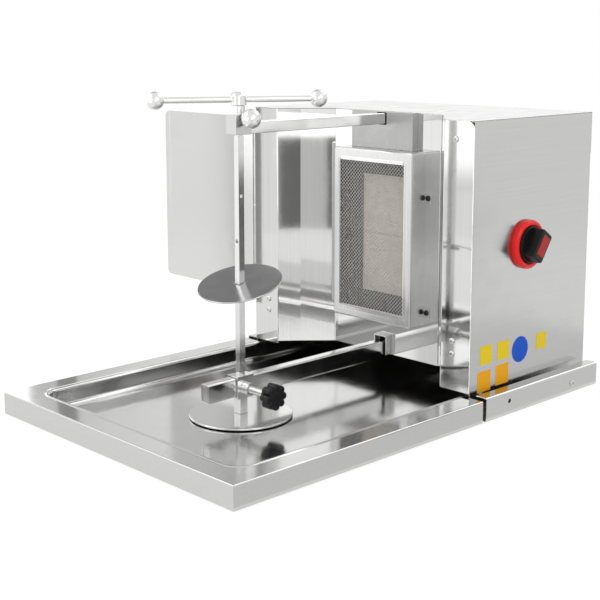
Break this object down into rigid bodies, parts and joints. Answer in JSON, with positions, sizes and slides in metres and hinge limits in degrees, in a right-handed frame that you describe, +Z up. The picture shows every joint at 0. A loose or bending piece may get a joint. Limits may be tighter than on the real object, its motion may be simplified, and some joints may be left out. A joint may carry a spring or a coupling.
{
  "type": "gas doner kebab grill",
  "caption": "Countertop gas kebab grill: ceramic burner in a sheet housing, hand-turned upright spit on a sliding carriage, wind wing and slide-out drip tray.",
  "frame": {"origin": "middle of the housing's footprint, on the surface it stands on", "axes": "+Z up, +Y from the spit towards the back of the housing, +X towards the gas knob"},
  "size_m": [0.5245, 0.568, 0.34],
  "materials": {
    "stainless_sheet": "fine brushed stainless sheet",
    "stainless_tray": "brushed stainless tray",
    "bright_reflector": "bright rolled stainless",
    "stainless_bar": "ground stainless bar",
    "polished_steel": "polished stainless",
    "polished_disc": "turned stainless disc",
    "plated_steel": "zinc plated steel",
    "wire_mesh": "woven stainless wire",
    "ceramic": "porous unglazed ceramic",
    "gasket_fibre": "pressed ceramic fibre",
    "brass_fitting": "machined brass",
    "copper_pipe": "drawn copper tube",
    "red_plastic": "moulded gloss red",
    "black_plastic": "moulded satin black",
    "yellow_patch": "plain vinyl patch",
    "orange_patch": "plain vinyl patch",
    "blue_patch": "plain vinyl patch"
  },
  "bodies": {
    "housing": {"base_plate": "stainless_sheet", "side_rail_left": "stainless_sheet", "side_rail_right": "stainless_sheet", "side_panel_left": "stainless_sheet", "side_panel_right": "stainless_sheet", "rear_panel": "stainless_sheet", "top_cover": "stainless_sheet", "reflector": "bright_reflector", "bar_collar": "stainless_sheet", "burner_frame": "stainless_sheet", "burner_mesh": "wire_mesh", "burner_box": "stainless_sheet", "ceramic_tiles": "ceramic", "tile_gasket": "gasket_fibre", "burner_hanger": "stainless_sheet", "burner_lugs": "stainless_sheet", "burner_screws": "plated_steel", "mixing_tube": "plated_steel", "gas_injector": "brass_fitting", "gas_valve": "brass_fitting", "gas_inlet": "brass_fitting", "inlet_pipe": "copper_pipe", "burner_pipe": "copper_pipe", "thermocouple": "copper_pipe", "knob_bezel": "red_plastic", "lower_bar": "stainless_bar", "bar_bracket": "stainless_sheet", "arm_guide": "stainless_sheet", "hinge_leaves_housing": "stainless_sheet", "hinge_pins": "stainless_bar", "patches_yellow": "yellow_patch", "patches_orange": "orange_patch", "patch_blue": "blue_patch", "reflector_screws": "plated_steel", "rail_screws": "plated_steel", "rear_screws": "plated_steel"},
    "tray": {"tray_skirt": "stainless_tray", "tray_deck": "stainless_tray", "tray_well": "stainless_tray"},
    "wing": {"wind_wing": "stainless_sheet", "hinge_leaves_wing": "stainless_sheet"},
    "carriage": {"carriage_sleeve": "stainless_bar", "clamp_nut": "stainless_bar", "foot_post": "stainless_bar", "foot_disc": "polished_disc", "pivot_stud": "stainless_bar"},
    "clamp": {"clamp_stud": "plated_steel"},
    "star": {"star_knob": "black_plastic"},
    "arm": {"upper_arm": "stainless_bar", "bearing_head": "stainless_bar"},
    "lock": {"lock_knob": "polished_steel"},
    "spit": {"spit_rod": "stainless_bar", "stop_pin": "stainless_bar", "handle_hub": "polished_steel", "handle_bar": "polished_steel", "handle_balls": "polished_steel"},
    "meat_plate": {"meat_disc": "polished_disc"},
    "spindle": {"valve_spindle": "brass_fitting"},
    "knob": {"knob_grip": "black_plastic", "knob_insert": "red_plastic"}
  },
  "joints": [
    {"name": "tray_slide", "type": "slide", "parent": "housing", "child": "tray", "axis": [0, -1, 0], "range_m": [0, 0.26]},
    {"name": "wing_swing", "type": "hinge", "parent": "housing", "child": "wing", "pos_m": [-0.1695, -0.1015, 0], "axis": [0, 0, 1], "range_deg": [-85, 90]},
    {"name": "carriage_slide", "type": "slide", "parent": "housing", "child": "carriage", "axis": [0, -1, 0], "range_m": [-0.09, 0.03]},
    {"name": "arm_slide", "type": "slide", "parent": "housing", "child": "arm", "axis": [0, -1, 0], "range_m": [-0.09, 0.03]},
    {"name": "spit_turn", "type": "hinge", "parent": "carriage", "child": "spit", "pos_m": [0, -0.274, 0], "axis": [0, 0, 1], "continuous": true},
    {"name": "plate_lift", "type": "slide", "parent": "spit", "child": "meat_plate", "axis": [0, 0, 1], "range_m": [0, 0.13]},
    {"name": "clamp_slide", "type": "slide", "parent": "carriage", "child": "clamp", "axis": [1, 0, 0], "range_m": [0, 0.0022]},
    {"name": "clamp_turn", "type": "hinge", "parent": "clamp", "child": "star", "pos_m": [0, -0.274, 0.035], "axis": [1, 0, 0], "range_deg": [0, 570]},
    {"name": "spindle_push", "type": "slide", "parent": "housing", "child": "spindle", "axis": [-1, 0, 0], "range_m": [0, 0.003], "stiffness_N_per_m": 800, "springref_m": -0.004},
    {"name": "knob_turn", "type": "hinge", "parent": "spindle", "child": "knob", "pos_m": [0, -0.012, 0.174], "axis": [1, 0, 0], "range_deg": [0, 180]},
    {"name": "lock_turn", "type": "hinge", "parent": "arm", "child": "lock", "pos_m": [0, -0.274, 0.3125], "axis": [1, 0, 0], "range_deg": [0, 180]}
  ],
  "couplings": [
    {"joint": "arm_slide", "follows": "carriage_slide", "ratio": 1},
    {"joint": "clamp_slide", "follows": "clamp_turn", "m_per_rad": 0.00019894}
  ]
}
